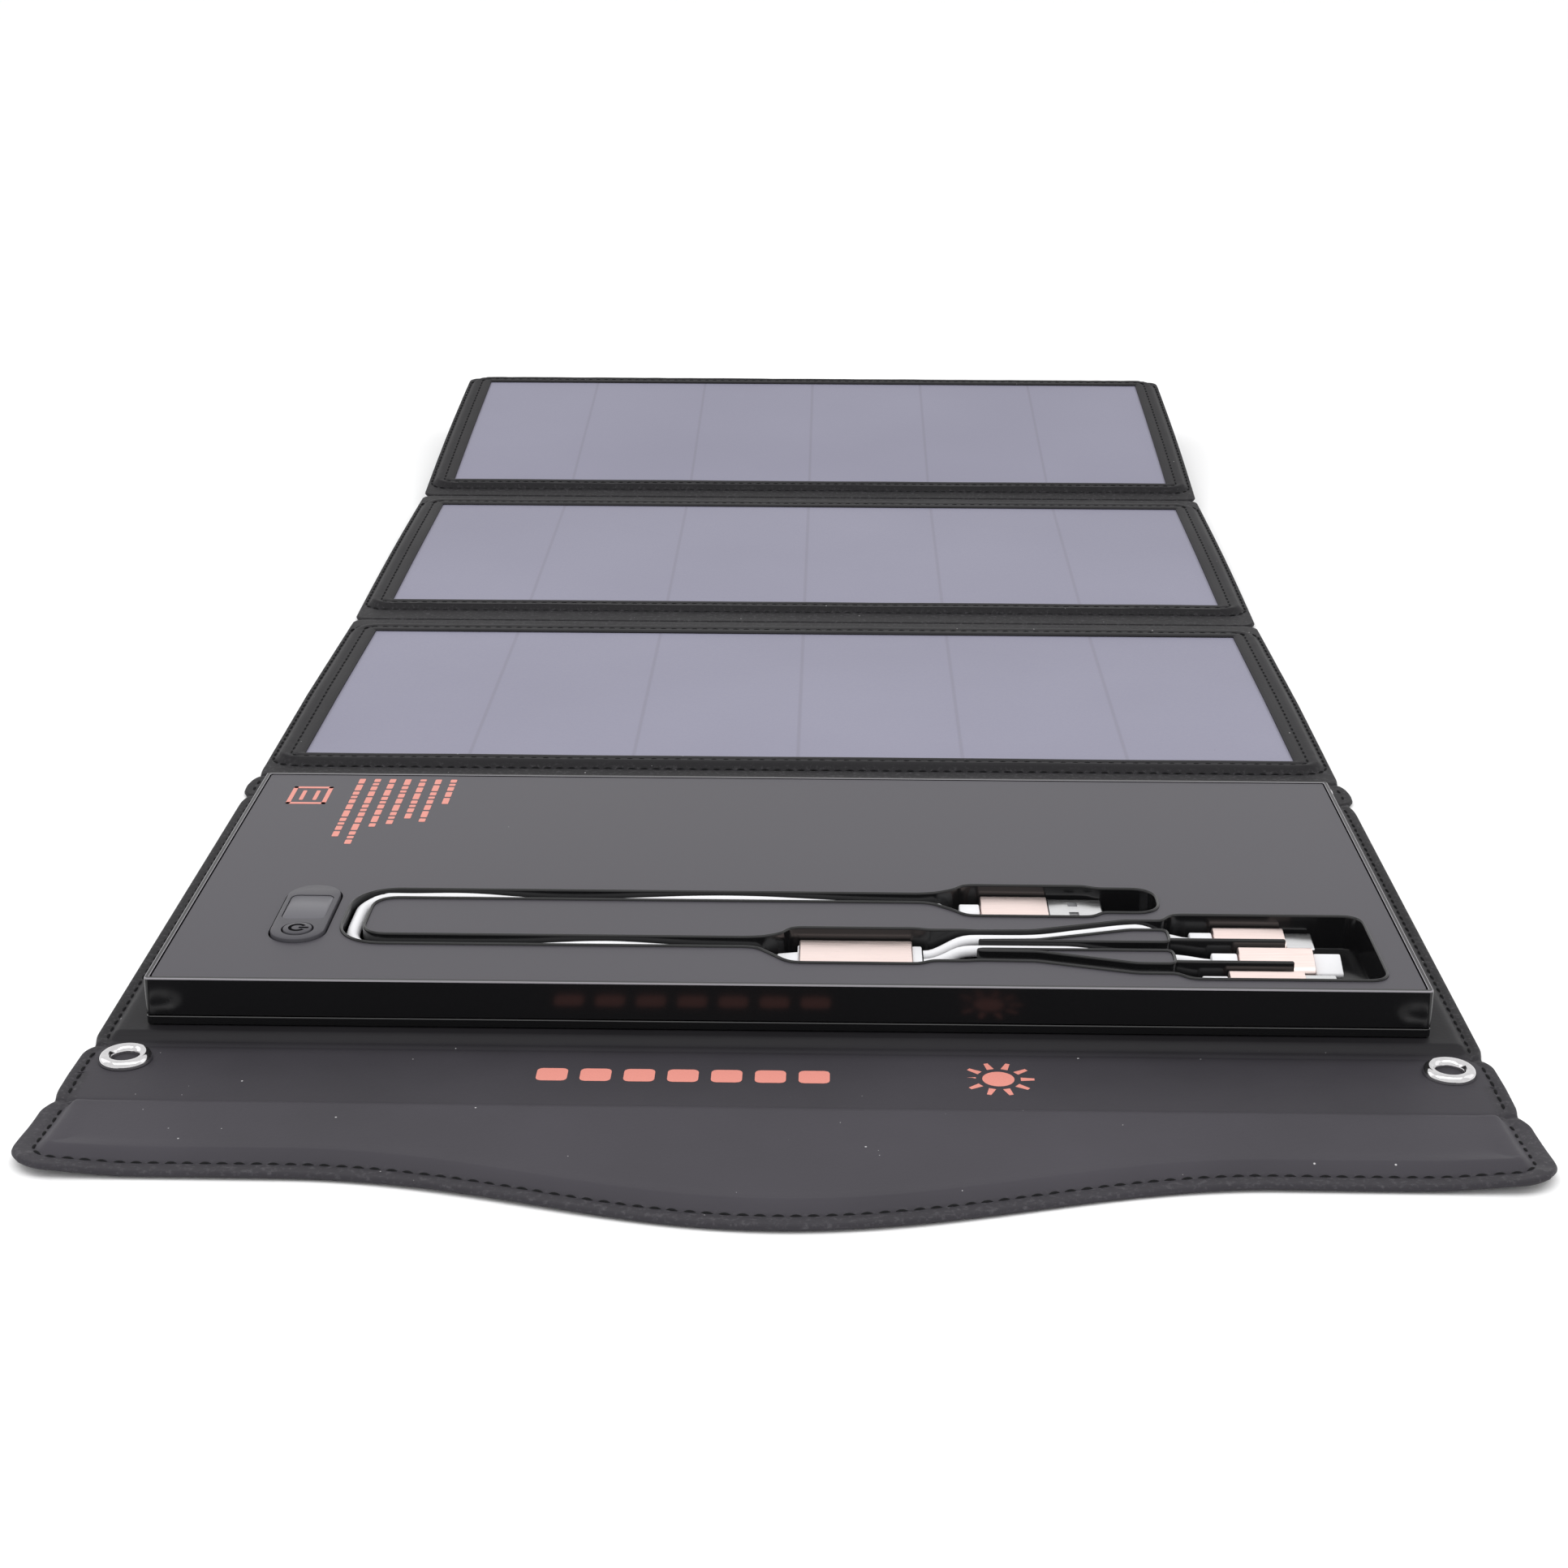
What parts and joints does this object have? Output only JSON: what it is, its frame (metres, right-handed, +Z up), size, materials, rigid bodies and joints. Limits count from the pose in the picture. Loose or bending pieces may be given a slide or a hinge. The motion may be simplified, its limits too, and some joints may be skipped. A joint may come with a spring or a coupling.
{
  "type": "folding solar charger",
  "caption": "Folding solar charger in a padded leather wallet, laid open: framed solar panels on hinged leaves, a flat power bank with a recessed charging lead, and a closing flap.",
  "frame": {"origin": "centre of the opened wallet's bounding box, on the surface that it lies on", "axes": "+X to the right, +Y away from the closing flap towards the far solar leaf, +Z up"},
  "size_m": [0.298, 0.6776, 0.0237],
  "materials": {
    "leather": "soft-touch matte black",
    "board": "pressed fibre board",
    "solar_laminate": "matte laminate over solar cells",
    "black_plastic": "gloss black",
    "satin_plate": "satin dark grey",
    "white_plastic": "smooth white",
    "rose_metal": "pink anodised",
    "steel": "plain",
    "chrome": "polished",
    "display_screen": "smoked window",
    "foam": "soft padding foam",
    "magnet": "plated",
    "circuit_board": "solder mask",
    "cell_foil": "foil pouch"
  },
  "bodies": {
    "bank_section": {"bank_leaf_outer_skin": "leather", "bank_leaf_board": "board", "bank_leaf_inner_skin": "leather", "bank_base_plate": "black_plastic", "bank_side_frame": "black_plastic", "bank_top_plate": "satin_plate", "cable_tray": "black_plastic", "display_cover": "black_plastic", "display_screen": "display_screen", "battery_cell_left": "cell_foil", "battery_cell_right": "cell_foil", "bank_circuit_board": "circuit_board", "usb_a_port": "steel", "usb_c_port": "steel"},
    "power_button": {"power_button": "black_plastic"},
    "charging_lead": {"usb_a_shell": "steel", "usb_a_sleeve": "rose_metal", "usb_a_collar": "white_plastic", "main_cable": "white_plastic", "junction_core": "white_plastic", "junction_sleeve": "rose_metal", "branch_cable_1": "white_plastic", "branch_cable_2": "white_plastic", "branch_cable_3": "white_plastic", "micro_usb_collar": "white_plastic", "micro_usb_sleeve": "rose_metal", "micro_usb_shell": "steel", "slim_tab_collar": "white_plastic", "slim_tab_sleeve": "rose_metal", "slim_tab_tab": "white_plastic", "usb_c_collar": "white_plastic", "usb_c_sleeve": "rose_metal", "usb_c_shell": "steel"},
    "spine_strip": {"spine_outer_skin": "leather", "spine_inner_skin": "leather", "spine_grommet_left": "chrome", "spine_grommet_right": "chrome"},
    "closing_flap": {"flap_outer_skin": "leather", "flap_foam_pad": "foam", "flap_inner_skin": "leather", "flap_magnet_left": "magnet", "flap_magnet_right": "magnet"},
    "gusset_strip": {"gusset_outer_skin": "leather", "gusset_inner_skin": "leather", "gusset_grommet_left": "chrome", "gusset_grommet_right": "chrome"},
    "leaf_3": {"leaf_3_outer_skin": "leather", "leaf_3_board": "board", "leaf_3_solar_laminate": "solar_laminate", "leaf_3_frame_skin": "leather"},
    "leaf_2": {"leaf_2_outer_skin": "leather", "leaf_2_board": "board", "leaf_2_solar_laminate": "solar_laminate", "leaf_2_frame_skin": "leather"},
    "leaf_1": {"leaf_1_outer_skin": "leather", "leaf_1_board": "board", "leaf_1_solar_laminate": "solar_laminate", "leaf_1_frame_skin": "leather", "keeper_strip": "steel"}
  },
  "joints": [
    {"name": "wallet_fold", "type": "hinge", "parent": "bank_section", "child": "gusset_strip", "pos_m": [0, -0.11505, 0.0013], "axis": [1, 0, 0], "range_deg": [0, 90]},
    {"name": "leaf_3_fold", "type": "hinge", "parent": "gusset_strip", "child": "leaf_3", "pos_m": [0, -0.09965, 0.0013], "axis": [1, 0, 0], "range_deg": [0, 90.1]},
    {"name": "leaf_2_fold", "type": "hinge", "parent": "leaf_3", "child": "leaf_2", "pos_m": [0, 0.04895, -0.00015], "axis": [-1, 0, 0], "range_deg": [0, 181.6]},
    {"name": "leaf_1_fold", "type": "hinge", "parent": "leaf_2", "child": "leaf_1", "pos_m": [0, 0.19981, 0.0071], "axis": [1, 0, 0], "range_deg": [0, 174.6]},
    {"name": "closure", "type": "hinge", "parent": "bank_section", "child": "spine_strip", "pos_m": [0, -0.26605, 0.0013], "axis": [-1, 0, 0], "range_deg": [0, 90]},
    {"name": "flap_fold", "type": "hinge", "parent": "spine_strip", "child": "closing_flap", "pos_m": [0, -0.29125, 0.0013], "axis": [-1, 0, 0], "range_deg": [0, 90.1]},
    {"name": "power_button_press", "type": "slide", "parent": "bank_section", "child": "power_button", "axis": [0, 0, -1], "range_m": [0, 0.0004], "stiffness_N_per_m": 400},
    {"name": "lead_lift", "type": "slide", "parent": "bank_section", "child": "charging_lead", "axis": [0, 0, 1], "range_m": [0, 0.035]}
  ]
}
